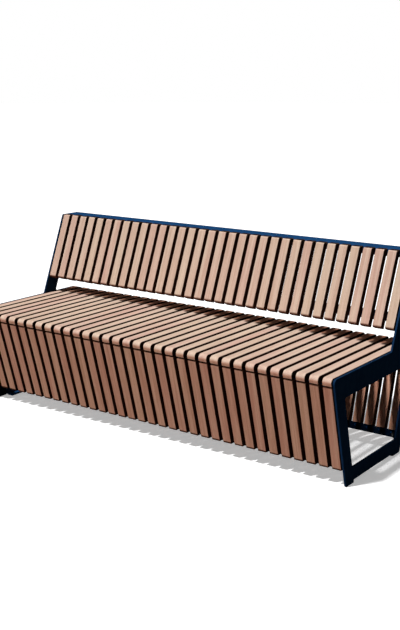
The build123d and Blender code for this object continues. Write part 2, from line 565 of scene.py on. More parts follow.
@dataclass(frozen=True)
class Peel:
    """Fine orange peel of a sprayed or plated skin, with cloudy thickness."""

    cloud_scale: float = 7.0
    cloud_detail: float = 3.0
    cloud_shown: Flat = (0.3, 0.7)

    def build(self) -> Group:
        """Builds the group that gives the peel's height and the clouds.

        Returns:
            The group.
        """
        inputs = {"Place": Socket.VECTOR, "Scale": Socket.NUMBER}
        outputs = {"Height": Socket.NUMBER, "Cloud": Socket.NUMBER}
        group = Group("skin_peel", "ShaderNodeTree", inputs, outputs)
        place, scale = group.given["Place"], group.given["Scale"]
        fine = group.noise(group.vector("MULTIPLY", place, group.combine(scale, scale, scale)), 1.0)
        cloud = group.noise(place, self.cloud_scale, self.cloud_detail)
        group.feed(group.result["Height"], fine)
        group.feed(group.result["Cloud"], group.ease(cloud, *self.cloud_shown))
        return group


class FinishGroups:
    """Shader groups that several finishes share."""

    def __init__(self) -> None:
        """Builds each group once."""
        self.grain, self.wear, self.peel = Grain().build(), Wear().build(), Peel().build()


class Finish:
    """A material with a Principled shader, made from node groups."""

    def __init__(self, name: str) -> None:
        """Starts an empty material.

        Args:
            name: The material's name.
        """
        self.material = bpy.data.materials.new(name)
        self.material.use_nodes = True
        tree = self.material.node_tree
        tree.nodes.clear()
        self.wiring = Wiring(tree)
        self.shader = self.wiring.add("ShaderNodeBsdfPrincipled")
        self.wiring.add("ShaderNodeOutputMaterial", {"Surface": self.shader.outputs[0]})

    def use(self, group: Group, inputs: dict[str, object]) -> bpy.types.NodeOutputs:
        """Places a group.

        Args:
            group: The group.
            inputs: Sockets or values for its inputs.

        Returns:
            Its outputs.
        """
        node = self.wiring.tree.nodes.new("ShaderNodeGroup")
        node.node_tree = group.tree
        for title, value in inputs.items():
            self.wiring.feed(node.inputs[title], value)
        return node.outputs

    def attribute(self, mark: Mark) -> bpy.types.NodeOutputs:
        """Outputs of a node that reads one of the mesh's attributes."""
        return self.wiring.add("ShaderNodeAttribute", attribute_name=mark.value).outputs

    def place(self) -> bpy.types.NodeSocket:
        """Object coordinates."""
        return self.wiring.add("ShaderNodeTexCoord").outputs["Object"]

    def set(self, **values: object) -> None:
        """Feeds or sets inputs of the shader, whose names have _ for a space."""
        for name, value in values.items():
            self.wiring.feed(self.shader.inputs[name.replace("_", " ")], value)

    def bump(self, height: bpy.types.NodeSocket, relief: Flat) -> None:
        """Feeds a height to the shader's normal, with a strength and a depth in metres."""
        inputs = {"Strength": relief[0], "Distance": relief[1], "Height": height}
        self.set(Normal=self.wiring.add("ShaderNodeBump", inputs).outputs[0])


@dataclass(frozen=True)
class TimberTones:
    """Colours of the timber's early wood, late wood and rubbed edges."""

    pale: Colour
    deep: Colour
    edge: Colour


@dataclass(frozen=True)
class TimberFinish:
    """Oiled hardwood with a painted highlight on upturned faces, painted shade and a painted shadow.

    Faces that turn up to the lamps take paler tones as a painted highlight. The slats' sides and eased
    edges get painted shade, and their ends darker bands, given as two heights: where the band is full, and
    where it stops. At the backrest's lower rounds and at the skirts' tops under the seat the bands are
    painted shade.
    A level top end has its own dark mark. The painted shadow under the backrest is given as two depths,
    between which the timber takes the brown tones and turns darker.
    """

    name: str
    painted_light_tones: TimberTones
    brown: TimberTones
    # Painted shade on the backrest's front faces; the upturned rounds stay lighter as a painted highlight.
    painted_front_shade: Colour = WHITE
    # Darker bands at the lower and upper ends: painted shade at the backrest's lower rounds and in the
    # joint under the seat, a dark band at the skirts' lower ends.
    low_end_band: Flat = (0.0, 0.0)
    high_end_band: Flat = (0.0, 0.0)
    # Darkens the level top ends of the backrest slats.
    dark_top_end: bool = False
    # Painted shadow of the backrest over the seat's rear part, in brown tones darkened by the next colour.
    painted_shadow_depths: Flat = (1.0, 2.0)
    painted_shadow_colour: Colour = (0.66, 0.62, 0.60, 1.0)
    dark_top_colour: Colour = (0.04, 0.03, 0.027, 1.0)
    blush: Colour = (0.975, 0.855, 0.90, 1.0)
    # Painted shade on the slats' sides and eased edges, as in the gaps, and the colour of the end bands.
    painted_shade_and_end_band: Colour = (0.14, 0.11, 0.10, 1.0)
    wear: float = 0.5
    relief: Flat = (0.35, 0.0006)
    side_range: Flat = (0.05, 0.55)
    # Painted highlight: faces that turn up to the lamps take the paler tones.
    painted_light_range: Flat = (-0.26, 0.45)
    painted_front_shade_range: Flat = (0.8, 0.45)
    top_range: Flat = (0.88, 0.97)

    def painted_shade_and_end_band_mask(self, finish: Finish) -> bpy.types.NodeSocket:
        """Adds a mask of painted shade on the slats' sides and eased edges, and of the dark bands at their
        ends.

        Args:
            finish: The finish that it goes into.

        Returns:
            The mask.
        """
        wiring = finish.wiring
        mask = wiring.ease(finish.attribute(Mark.SIDE)["Fac"], *self.side_range)
        height = wiring.parts(finish.place())[2]
        for full, none in (self.low_end_band, self.high_end_band):
            if full:
                mask = wiring.maths("MAXIMUM", mask, wiring.ease(height, none, full))
        return mask

    def material(self, groups: FinishGroups) -> bpy.types.Material:
        """Builds the material.

        Args:
            groups: The shared shader groups.

        Returns:
            The material.
        """
        finish = Finish(self.name)
        wiring = finish.wiring
        place = finish.place()
        # Painted shadow of the backrest on the seat's rear part.
        painted_shadow = wiring.ease(wiring.parts(place)[1], *self.painted_shadow_depths)
        sky = finish.attribute(Mark.SKY)["Fac"]
        # Painted highlight: paler tones on upturned faces, except in the painted shadow.
        painted_light = wiring.ease(sky, *self.painted_light_range)
        painted_light = wiring.times(painted_light, wiring.maths("SUBTRACT", 1.0, painted_shadow))
        grain = finish.use(groups.grain, {
            "Place": finish.attribute(Mark.PLACE)["Vector"],
            "Shift": finish.attribute(Mark.SHIFT)["Fac"],
            "Tone": finish.attribute(Mark.TONE)["Fac"],
            "Pale": wiring.mix(painted_light, self.brown.pale, self.painted_light_tones.pale),
            "Deep": wiring.mix(painted_light, self.brown.deep, self.painted_light_tones.deep),
            "Blush": self.blush,
        })
        edge = finish.attribute(Mark.EDGE)["Fac"]
        rubbed = finish.use(groups.wear, {"Place": place, "Edge": edge, "Amount": self.wear})
        edge_colour = wiring.mix(painted_light, self.brown.edge, self.painted_light_tones.edge)
        colour = wiring.mix(rubbed["Mask"], grain["Colour"], edge_colour)
        # Painted shade on the backrest's front faces, leaving the upturned rounds lighter.
        colour = wiring.mix(wiring.ease(sky, *self.painted_front_shade_range), colour, self.painted_front_shade, "MULTIPLY")
        colour = wiring.mix(painted_shadow, colour, self.painted_shadow_colour, "MULTIPLY")
        # Darkens the level top ends.
        if self.dark_top_end:
            colour = wiring.mix(wiring.ease(sky, *self.top_range), colour, self.dark_top_colour, "MULTIPLY")
        # Painted shade on the sides and eased edges, and the dark end bands.
        finish.set(Base_Color=wiring.mix(self.painted_shade_and_end_band_mask(finish), colour, self.painted_shade_and_end_band, "MULTIPLY"))
        finish.set(Roughness=grain["Roughness"], Specular_IOR_Level=0.0)
        finish.bump(grain["Height"], self.relief)
        return finish.material


@dataclass(frozen=True)
class CoatFinish:
    """Satin powder coat with a fine peel, with painted shade on the cut edges and the inner face of a
    plate.
    """

    name: str
    colour: Colour
    thin_colour: Colour
    worn_colour: Colour
    wear: float = 0.35
    # Painted shade on the cut edges and the inner faces.
    cut: Colour = WHITE
    inner: Colour = WHITE
    peel_scale: float = 900.0
    roughness: float = 0.46
    cloud_roughness: float = 0.08
    relief: Flat = (0.25, 0.0002)

    def material(self, groups: FinishGroups) -> bpy.types.Material:
        """Builds the material.

        Args:
            groups: The shared shader groups.

        Returns:
            The material.
        """
        finish = Finish(self.name)
        wiring = finish.wiring
        place = finish.place()
        peel = finish.use(groups.peel, {"Place": place, "Scale": self.peel_scale})
        edge = finish.attribute(Mark.EDGE)["Fac"]
        rubbed = finish.use(groups.wear, {"Place": place, "Edge": edge, "Amount": self.wear})
        colour = wiring.mix(peel["Cloud"], self.colour, self.thin_colour)
        colour = wiring.mix(rubbed["Mask"], colour, self.worn_colour)
        # Painted shade: the cut edges and the inner faces are darkened.
        for mark, tone in ((Mark.CUT, self.cut), (Mark.INNER, self.inner)):
            colour = wiring.mix(finish.attribute(mark)["Fac"], colour, tone, "MULTIPLY")
        rough = wiring.scaled(peel["Cloud"], self.cloud_roughness, self.roughness)
        finish.set(Base_Color=colour, Roughness=rough, Specular_IOR_Level=0.0)
        finish.bump(peel["Height"], self.relief)
        return finish.material


@dataclass(frozen=True)
class PlateFinish:
    """Black zinc plate with a cloudy passivation."""

    name: str
    colour: Colour
    cloud_colour: Colour
    peel_scale: float = 1600.0
    roughness: float = 0.24
    cloud_roughness: float = 0.25
    relief: Flat = (0.15, 0.0001)

    def material(self, groups: FinishGroups) -> bpy.types.Material:
        """Builds the material.

        Args:
            groups: The shared shader groups.

        Returns:
            The material.
        """
        finish = Finish(self.name)
        height = finish.use(groups.peel, {"Place": finish.place(), "Scale": self.peel_scale})["Height"]
        colour = finish.wiring.mix(height, self.colour, self.cloud_colour)
        rough = finish.wiring.scaled(height, self.cloud_roughness, self.roughness)
        finish.set(Base_Color=colour, Metallic=1.0, Roughness=rough)
        finish.bump(height, self.relief)
        return finish.material


def slat_row_tree() -> Group:
    """Geometry tree that repeats a slat along the bench, each with its own tone, grain and slack.

    Returns:
        The tree.
    """
    inputs = {"Slat": Socket.SHAPE, "Count": Socket.COUNT, "Pitch": Socket.NUMBER, "Along": Socket.VECTOR,
              "Slack": Socket.NUMBER, "Seed": Socket.COUNT, "Finish": Socket.MATERIAL}
    group = Group("slat_row", "GeometryNodeTree", inputs, {"Row": Socket.SHAPE})
    given = group.given
    seed, slack = given["Seed"], given["Slack"]
    half = group.times(group.maths("SUBTRACT", given["Count"], 1.0), -0.5)
    first = group.combine(group.times(half, given["Pitch"]), 0.0, 0.0)
    offset = group.combine(given["Pitch"], 0.0, 0.0)
    inputs = {"Count": given["Count"], "Start Location": first, "Offset": offset}
    line = group.add("GeometryNodeMeshLine", inputs, mode="OFFSET", count_mode="TOTAL").outputs[0]
    inputs = {"Points": line, "Instance": given["Slat"]}
    slats = group.add("GeometryNodeInstanceOnPoints", inputs).outputs[0]
    end_play = group.times(group.random(-1.0, 1.0, seed), slack)
    side_play = group.times(group.random(-0.6, 0.6, group.plus(seed, 1.0)), slack)
    play = group.vector("MULTIPLY", given["Along"], group.combine(end_play, end_play, end_play))
    play = group.vector("ADD", play, group.combine(side_play, 0.0, 0.0))
    inputs = {"Instances": slats, "Translation": play}
    slats = group.add("GeometryNodeTranslateInstances", inputs).outputs[0]
    for step, mark in enumerate((Mark.TONE, Mark.SHIFT), start=2):
        value = group.random(0.0, 1.0, group.plus(seed, float(step)))
        inputs = {"Geometry": slats, "Name": mark.value, "Value": value}
        marked = group.add("GeometryNodeStoreNamedAttribute", inputs, data_type="FLOAT", domain="INSTANCE")
        slats = marked.outputs[0]
    group.close(slats)
    return group


def fastener_tree() -> Group:
    """Geometry tree that sets a fastener at each point, along an axis and turned at random.

    Returns:
        The tree.
    """
    inputs = {"Places": Socket.SHAPE, "Fastener": Socket.OBJECT, "Axis": Socket.VECTOR,
              "Seed": Socket.COUNT, "Finish": Socket.MATERIAL}
    group = Group("fasteners", "GeometryNodeTree", inputs, {"Fasteners": Socket.SHAPE})
    given = group.given
    shape = group.add("GeometryNodeObjectInfo", {"Object": given["Fastener"]}).outputs["Geometry"]
    angle = group.random(0.0, 2 * pi, given["Seed"])
    spin = group.add("FunctionNodeAxisAngleToRotation", {"Angle": angle}).outputs[0]
    inputs = {"Rotation": spin, "Vector": given["Axis"]}
    turned = group.add("FunctionNodeAlignRotationToVector", inputs, axis="Z").outputs[0]
    inputs = {"Points": given["Places"], "Instance": shape, "Rotation": turned}
    group.close(group.add("GeometryNodeInstanceOnPoints", inputs).outputs[0])
    return group


def weld_tree() -> Group:
    """Geometry tree that lays a rippled weld bead along lines.

    Returns:
        The tree.
    """
    inputs = {"Lines": Socket.SHAPE, "Bead": Socket.NUMBER, "Ripple": Socket.NUMBER,
              "Seed": Socket.COUNT, "Finish": Socket.MATERIAL}
    group = Group("weld_bead", "GeometryNodeTree", inputs, {"Beads": Socket.SHAPE})
    given = group.given
    line = group.add("GeometryNodeMeshToCurve", {0: given["Lines"]}).outputs[0]
    inputs = {"Curve": line, "Length": given["Ripple"]}
    line = group.add("GeometryNodeResampleCurve", inputs, mode="LENGTH").outputs[0]
    inputs = {"Resolution": 8, "Radius": given["Bead"]}
    ring = group.add("GeometryNodeCurvePrimitiveCircle", inputs).outputs[0]
    swell = group.random(0.78, 1.12, given["Seed"])
    inputs = {"Curve": line, "Profile Curve": ring, "Scale": swell, "Fill Caps": True}
    bead = group.add("GeometryNodeCurveToMesh", inputs).outputs[0]
    group.close(group.add("GeometryNodeSetShadeSmooth", {"Geometry": bead}).outputs[0])
    return group


@dataclass
class SlatRow:
    """A row of timber slats with eased edges, all of one outline."""

    lines: BenchLines
    name: str
    nodes: list[str]
    corners: list[Corner]
    along: Flat
    finish: bpy.types.Material
    seed: int
    easing: float = 0.002
    slack: float = 0.0006
    edge_steps: int = 3
    nose_steps: int = 10
    largest_edge: float = 0.006
    edge_wear: float = 0.8

    def arcs(self) -> list[tuple[Vector, float, list[Vector]]]:
        """Works out the rounded corners, counter-clockwise.

        Returns:
            The centre, the radius and the spokes of each.
        """
        found = []
        count = len(self.corners)
        for k, (y, z, radius) in enumerate(self.corners):
            here = Vector((y, z))
            before = (here - Vector(self.corners[k - 1][:2])).normalized()
            after = (Vector(self.corners[(k + 1) % count][:2]) - here).normalized()
            inward = Vector((-before.y, before.x)), Vector((-after.y, after.x))
            mitre = (inward[0] + inward[1]) / (1 + inward[0].dot(inward[1]))
            start = atan2(-inward[0].y, -inward[0].x)
            sweep = before.angle_signed(after) * -1
            steps = self.nose_steps if radius > self.largest_edge else self.edge_steps
            angles = [start + sweep * step / steps for step in range(steps + 1)]
            found.append((here + mitre * radius, radius, [Vector((cos(a), sin(a))) for a in angles]))
        return found

    def slat(self) -> bpy.types.Object:
        """Makes one slat at the middle of the bench, with its place in the timber as an attribute.

        Returns:
            The slat.
        """
        arcs = self.arcs()
        half = self.lines.slat_width / 2
        turns = [radians(90 * step / self.edge_steps) for step in range(self.edge_steps + 1)]
        end = [(half - self.easing * (1 - sin(t)), self.easing * (1 - cos(t)), t) for t in turns]
        rings = [(-x, inset, turn) for x, inset, turn in reversed(end)] + end
        shape = bmesh.new()
        places, marks, sides, skies, rows = [], [], [], [], []
        along = Vector(self.along)
        depth = Vector((along.y, -along.x))
        origin = min((Vector(corner[:2]) for corner in self.corners), key=along.dot)
        for x, inset, turn in rings:
            row = []
            for centre, radius, spokes in arcs:
                for step, spoke in enumerate(spokes):
                    point = centre + spoke * (radius - inset)
                    row.append(shape.verts.new((x, point.x, point.y)))
                    local = point - origin
                    places.extend((x, local.dot(along), local.dot(depth)))
                    eased = 0 < step < len(spokes) - 1 and radius < self.largest_edge
                    marks.append(max(sin(2 * turn), self.edge_wear if eased else 0.0))
                    sides.append(sin(turn))
                    skies.append(spoke.y * cos(turn))
            rows.append(row)
        skin(shape, rows)
        shape.faces.new(rows[0])
        shape.faces.new(reversed(rows[-1]))
        bmesh.ops.recalc_face_normals(shape, faces=shape.faces)
        for face in shape.faces:
            face.smooth = True
        made = new_object(self.name, shape)
        place = made.data.attributes.new(Mark.PLACE.value, "FLOAT_VECTOR", Domain.POINT.value)
        place.data.foreach_set("vector", places)
        for mark, values in ((Mark.EDGE, marks), (Mark.SIDE, sides), (Mark.SKY, skies)):
            store(made.data, mark, values)
        return made

    def build(self, tree: Group) -> None:
        """Builds the row and ties it to the frame.

        Args:
            tree: The slat tree.
        """
        piece = self.slat()
        piece.modifiers.new("even_shade", "WEIGHTED_NORMAL")
        settle(piece)
        tree.run(piece, {
            "Count": self.lines.slat_count, "Pitch": self.lines.slat_pitch, "Along": (0.0, *self.along),
            "Slack": self.slack, "Seed": self.seed, "Finish": self.finish,
        })
        enlist(piece, self.nodes)


@dataclass
class Slats:
    """The four rows of slats: seat, backrest and the two skirts."""

    lines: BenchLines
    seat: bpy.types.Material
    backrest: bpy.types.Material
    skirt: bpy.types.Material
    nose_radius: float = 0.016
    back_radius: float = 0.010
    corner_radius: float = 0.002
    lower_radius: float = 0.010

    def seat_corners(self) -> list[Corner]:
        """Outline of a seat slat.

        Returns:
            The depth, height and radius of each corner.
        """
        lines = self.lines
        low, high = lines.seat_underside, lines.seat_height
        front_low, front_high = (lines.front_face(low), low), (lines.front_face(high), high)
        return [
            (*front_low, self.corner_radius),
            (*lines.rear(front_low), self.corner_radius),
            (*lines.rear(front_high), self.nose_radius),
            (*front_high, self.nose_radius),
        ]

    def back_corners(self) -> list[Corner]:
        """Outline of a backrest slat.

        Returns:
            The depth, height and radius of each corner.
        """
        lines = self.lines
        deep, high = lines.slat_thickness, lines.bench_height
        return [
            (*lines.on_back(0.0, 0.0), self.lower_radius),
            (*lines.on_back(0.0, deep), self.corner_radius),
            (lines.back_face(high, deep), high, self.corner_radius),
            (lines.back_face(high), high, self.back_radius),
        ]

    def skirt_corners(self, rear: bool) -> list[Corner]:
        """Outline of a skirt slat.

        Args:
            rear: Whether it is a slat of the rear skirt.

        Returns:
            The depth, height and radius of each corner.
        """
        lines = self.lines
        low, high = lines.skirt_bottom, lines.skirt_top
        ends = [(low, 0.0), (low, lines.slat_thickness), (high, lines.slat_thickness), (high, 0.0)]
        points = [(lines.front_face(z, inset), z) for z, inset in ends]
        if rear:
            points = [lines.rear(point) for point in reversed(points)]
        return [(*point, self.corner_radius) for point in points]

    def build(self, tree: Group) -> None:
        """Builds the four rows.

        Args:
            tree: The slat tree.
        """
        lines = self.lines
        level = (1.0, 0.0)
        reclined = (sin(lines.recline), cos(lines.recline))
        front_lean, rear_lean = [(flip * sin(lines.side_lean), cos(lines.side_lean)) for flip in (-1, 1)]
        seat_nodes = [f"seat_slat_{number:02d}" for number in range(1, lines.slat_count + 1)]
        back, front, rear = self.back_corners(), self.skirt_corners(False), self.skirt_corners(True)
        for name, nodes, corners, along, finish, seed in (
            ("seat_slats_timber", seat_nodes, self.seat_corners(), level, self.seat, 11),
            ("backrest_slats_timber", ["backrest_slats"], back, reclined, self.backrest, 23),
            ("front_skirt_timber", ["front_skirt_slats"], front, front_lean, self.skirt, 37),
            ("rear_skirt_timber", ["rear_skirt_slats"], rear, rear_lean, self.skirt, 53),
        ):
            SlatRow(lines, name, nodes, corners, along, finish, seed).build(tree)


@dataclass
class SteelPiece:
    """A steel piece with its CAD shape and small rounds on its edges."""

    name: str
    node: str
    finish: bpy.types.Material
    edge_round: float = 0.0008
    round_segments: int = 2
    sharp: float = radians(30)
    flat: float = radians(0.5)
    worn: float = radians(35)

    def mark_edges(self, mesh: bpy.types.Mesh) -> None:
        """Stores which points lie on an edge, and which faces were cut across the sheet or look inwards.

        Args:
            mesh: The piece's mesh.
        """
        shape = bmesh.new()
        shape.from_mesh(mesh)
        marks = []
        for vert in shape.verts:
            normals = [face.normal for face in vert.link_faces]
            widest = max((a.angle(b, 0.0) for a in normals for b in normals), default=0.0)
            marks.append(min(widest / self.worn, 1.0))
        shape.free()
        across = [abs(face.normal.x) for face in mesh.polygons]
        inwards = [float(face.normal.x * face.center.x < 0.0) for face in mesh.polygons]
        store(mesh, Mark.EDGE, marks)
        store(mesh, Mark.CUT, [1.0 - share for share in across], Domain.FACE)
        store(mesh, Mark.INNER, [side * share for side, share in zip(inwards, across)], Domain.FACE)

    def build(self, nodes: dict[str, bpy.types.Object]) -> None:
        """Makes the piece from a copy of its CAD node.

        Args:
            nodes: The CAD nodes' objects.
        """
        shape = bmesh.new()
        shape.from_mesh(nodes[self.node].data)
        bmesh.ops.remove_doubles(shape, verts=shape.verts, dist=MERGE_DISTANCE)
        bmesh.ops.dissolve_limit(shape, angle_limit=self.flat, verts=shape.verts, edges=shape.edges)
        for face in shape.faces:
            face.smooth = True
        piece = new_object(self.name, shape)
        bevel = piece.modifiers.new("rounds", "BEVEL")
        bevel.width = self.edge_round
        bevel.segments = self.round_segments
        bevel.limit_method = "ANGLE"
        bevel.angle_limit = self.sharp
        bevel.use_clamp_overlap = False
        piece.modifiers.new("even_shade", "WEIGHTED_NORMAL")
        settle(piece)
        self.mark_edges(piece.data)
        piece.data.materials.clear()
        piece.data.materials.append(self.finish)
        enlist(piece, [self.node])


@dataclass
class SteelWork:
    """Side frames, rails, beams and anchor lugs."""

    lines: BenchLines
    frame_finish: bpy.types.Material
    finish: bpy.types.Material
    # Coat with painted shade for the skirt rails.
    rail_shade_finish: bpy.types.Material
    frame_round: float = 0.0012
    bead: float = 0.0026
    ripple: float = 0.0022
    skirt_rail_weld: float = 0.026
    lug_weld_start: float = 0.016
    foot_gap: float = 0.005
    foot_seam: Flat = (0.001, 0.014)

    rails: ClassVar[tuple[str, ...]] = (
        "backrest_top_rail", "backrest_lower_rail", "front_corner_beam", "rear_corner_beam",
        "front_skirt_rail", "rear_skirt_rail",
    )

    def rail_lines(self) -> list[list[Flat]]:
        """Inner outlines of the rails and beams, where they are welded to their end plates.

        Returns:
            Lines in depth and height.
        """
        lines = self.lines
        inset, under = lines.beam_inset, lines.beam_under
        low = lines.seat_underside - lines.beam_leg
        beam_end = lines.beam_corner + lines.beam_leg
        corner = [*((lines.front_face(z, inset), z) for z in (low, under)), (beam_end, under)]
        half = self.skirt_rail_weld / 2
        skirt = [lines.on_skirt(along, lines.skirt_rail_inset) for along in (-half, half)]

        inset, under = lines.rail_inset, lines.bench_height - lines.rail_sheet
        low = lines.bench_height - lines.top_rail_height
        top_rear = lines.back_face(lines.bench_height, lines.slat_thickness) + lines.top_rail_depth
        inner_rear = top_rear - lines.rail_sheet
        front = [(lines.back_face(z, inset), z) for z in (under, low)]
        top = [(inner_rear, low), (inner_rear, under), *front]
        fold = lines.lower_rail_offset + lines.lower_rail_height - lines.rail_sheet
        far = lines.slat_thickness + lines.lower_rail_depth
        corners = [(lines.lower_rail_offset, inset), (fold, inset), (fold, far)]
        lower = [lines.on_back(along, deep) for along, deep in corners]
        mirrored = [[lines.rear(point) for point in outline] for outline in (corner, skirt)]
        return [top, lower, corner, mirrored[0], skirt, mirrored[1]]

    def lug_lines(self) -> list[list[Flat]]:
        """Outlines of the anchor lugs on a frame's inner face, and the seams between lug and foot.

        Returns:
            Lines in depth and height.
        """
        found = []
        for end in ENDS:
            low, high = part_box(f"{end}_right_anchor_lug")
            start = self.lug_weld_start
            found.append([(low.y, start), (low.y, high.z), (high.y, high.z), (high.y, start)])
            seam = low.y - self.foot_gap / 2 if end == "front" else high.y + self.foot_gap / 2
            found.append([(seam, z) for z in self.foot_seam])
        return found

    def welds(self, name: str, reach: float, outlines: list[list[Flat]], seed: int, tree: Group) -> None:
        """Lays weld beads at both ends of the bench.

        Args:
            name: The piece's name.
            reach: Distance of the beads from the middle of the bench.
            outlines: Lines in depth and height.
            seed: Seed of the ripples.
            tree: The weld tree.
        """
        shape = bmesh.new()
        for sign in SIDES.values():
            for outline in outlines:
                verts = [shape.verts.new((sign * reach, y, z)) for y, z in outline]
                for first, second in zip(verts, verts[1:]):
                    shape.edges.new((first, second))
        piece = new_object(name, shape)
        tree.run(piece, {"Bead": self.bead, "Ripple": self.ripple, "Seed": seed, "Finish": self.finish})
        enlist(piece, [])

    def build(self, nodes: dict[str, bpy.types.Object], weld: Group) -> None:
        """Builds the steel pieces and their welds.

        Args:
            nodes: The CAD nodes' objects.
            weld: The weld tree.
        """
        for side in SIDES:
            node = f"{side}_side_frame"
            SteelPiece(f"{side}_frame_plate", node, self.frame_finish, self.frame_round).build(nodes)
        for rail in self.rails:
            # The skirt rails take the near-black coat, which is painted shade.
            finish = self.rail_shade_finish if "skirt" in rail else self.finish
            SteelPiece(f"{rail}_steel", rail, finish).build(nodes)
        for end in ENDS:
            for side in SIDES:
                lug = f"{end}_{side}_anchor_lug"
                SteelPiece(f"{lug}_steel", lug, self.finish).build(nodes)
        self.welds("rail_welds", self.lines.frame_face - self.lines.end_plate, self.rail_lines(), 71, weld)
        self.welds("lug_welds", self.lines.frame_face, self.lug_lines(), 83, weld)


@dataclass
class Fasteners:
    """Studs and nuts at the frames, and the screws that hold the slats.

    The places of the screws are heights, or lengths along the slats or the beams.
    """

    lines: BenchLines
    plated: bpy.types.Material
    coated: bpy.types.Material
    tree: Group
    nut_width: float = 0.016
    nut_height: float = 0.008
    nut_chamfer: float = 0.95
    nut_points: int = 36
    bore_gap: float = 0.0001
    bore_mouth: float = 0.0007
    stud_radius: float = 0.005
    stud_length: float = 0.018
    stud_points: int = 20
    shank_end: float = 0.003
    thread_start: float = 0.0035
    thread_stop: float = 0.0007
    thread_pitch: float = 0.0015
    thread_depth: float = 0.0009
    thread_rings: int = 22
    tip: float = 0.0014
    head_radius: float = 0.0045
    head_height: float = 0.003
    head_points: int = 12
    lobe_radii: Flat = (0.0014, 0.0021)
    recess_taper: float = 0.9
    recess_floor: float = 0.45
    back_high_screw: float = 0.806
    back_low_screw: float = 0.053
    seat_screw: float = 0.036
    skirt_high_screw: float = 0.388
    skirt_low_screw: float = 0.004

    head_profile: ClassVar[tuple[Flat, ...]] = ((1.0, 0.0), (1.0, 0.42), (0.86, 0.78), (0.62, 0.97))

    def nut(self) -> bpy.types.Object:
        """Makes a chamfered hexagon nut about its middle.

        Returns:
            The nut.
        """
        count = self.nut_points
        flat = self.nut_width / 2
        chamfer = flat * self.nut_chamfer
        hexagon = []
        for k in range(count):
            angle = (2 * pi * k / count) % (pi / 3) - pi / 6
            hexagon.append(flat / cos(angle))
        top = self.nut_height / 2
        drop = [(radius - chamfer) * tan(radians(30)) for radius in hexagon]
        bore = self.stud_radius + self.bore_gap
        mouth = bore + self.bore_mouth
        shape = lathe([
            level_ring(count, bore, 0.0),
            level_ring(count, bore, -top + self.bore_mouth),
            level_ring(count, mouth, -top),
            level_ring(count, chamfer, -top),
            (hexagon, [-top + fall for fall in drop]),
            (hexagon, [top - fall for fall in drop]),
            level_ring(count, chamfer, top),
            level_ring(count, mouth, top),
            level_ring(count, bore, top - self.bore_mouth),
            level_ring(count, bore, 0.0),
        ])
        caps = [face for face in shape.faces if len(face.verts) > 4]
        bmesh.ops.delete(shape, geom=caps, context="FACES_ONLY")
        bmesh.ops.remove_doubles(shape, verts=shape.verts, dist=MERGE_DISTANCE)
        bmesh.ops.recalc_face_normals(shape, faces=shape.faces)
        return new_object("nut_pattern", shape)

    def stud(self) -> bpy.types.Object:
        """Makes a weld stud about its middle, threaded where it stands out of its nut.

        Returns:
            The stud.
        """
        count = self.stud_points
        top = self.stud_length / 2
        rings = [level_ring(count, self.stud_radius, height) for height in (-top, self.shank_end)]
        length = top - self.thread_start - self.thread_stop
        for step in range(self.thread_rings):
            height = self.thread_start + length * step / (self.thread_rings - 1)
            radii = []
            for k in range(count):
                phase = (height / self.thread_pitch - k / count) % 1.0
                radii.append(self.stud_radius - self.thread_depth * abs(2 * phase - 1))
            rings.append((radii, [height] * count))
        rings.append(level_ring(count, self.stud_radius - self.tip, top))
        shape = lathe(rings)
        bmesh.ops.recalc_face_normals(shape, faces=shape.faces)
        return new_object("stud_pattern", shape)

    def screw(self) -> bpy.types.Object:
        """Makes a pan-head screw with a six-lobed recess, standing on its seat.

        Returns:
            The screw.
        """
        count, radius, height = self.head_points, self.head_radius, self.head_height
        lobes = [self.lobe_radii[k % 2] for k in range(count)]
        rings = [level_ring(count, radius * r, height * z) for r, z in self.head_profile]
        rings.append((lobes, [height] * count))
        rings.append(([lobe * self.recess_taper for lobe in lobes], [height * self.recess_floor] * count))
        shape = lathe(rings)
        bmesh.ops.recalc_face_normals(shape, faces=shape.faces)
        for face in shape.faces:
            face.smooth = len(face.verts) == 4
        return new_object("screw_pattern", shape)

    @staticmethod
    def island_middles(source: bpy.types.Object) -> list[Vector]:
        """Finds the separate solids in a CAD node.

        Args:
            source: The node's object.

        Returns:
            Their middles, from the lowest.
        """
        shape = bmesh.new()
        shape.from_mesh(source.data)
        bmesh.ops.remove_doubles(shape, verts=shape.verts, dist=MERGE_DISTANCE)
        left = set(shape.verts)
        found = []
        while left:
            queue = [left.pop()]
            island = []
            while queue:
                vert = queue.pop()
                island.append(vert.co.copy())
                for edge in vert.link_edges:
                    other = edge.other_vert(vert)
                    if other in left:
                        left.remove(other)
                        queue.append(other)
            low, high = (
                Vector([pick(co[axis] for co in island) for axis in range(3)]) for pick in (min, max)
            )
            found.append((low + high) / 2)
        shape.free()
        return sorted(found, key=lambda middle: (round(middle.z, 4), round(middle.y, 4)))

    def screw_rows(self) -> dict[str, list[tuple[Flat, Flat]]]:
        """Works out the rows of screws.

        Returns:
            The place and the axis of each row, in depth and height, by the name of their piece.
        """
        lines = self.lines
        back = (cos(lines.recline), -sin(lines.recline))
        skirt = (cos(lines.side_lean), sin(lines.side_lean))
        rear_skirt = (-skirt[0], skirt[1])
        down = (0.0, -1.0)
        back_high = (lines.back_face(self.back_high_screw, lines.rail_inset), self.back_high_screw)
        back_low = lines.on_back(self.back_low_screw, lines.rail_inset)
        seat = (lines.beam_corner + self.seat_screw, lines.beam_under)
        high = (lines.front_face(self.skirt_high_screw, lines.beam_inset), self.skirt_high_screw)
        low = lines.on_skirt(self.skirt_low_screw, lines.skirt_rail_inset)
        return {
            "backrest_screws": [(back_high, back), (back_low, back)],
            "seat_screws": [(seat, down), (lines.rear(seat), down)],
            "front_skirt_screws": [(high, skirt), (low, skirt)],
            "rear_skirt_screws": [(lines.rear(high), rear_skirt), (lines.rear(low), rear_skirt)],
        }

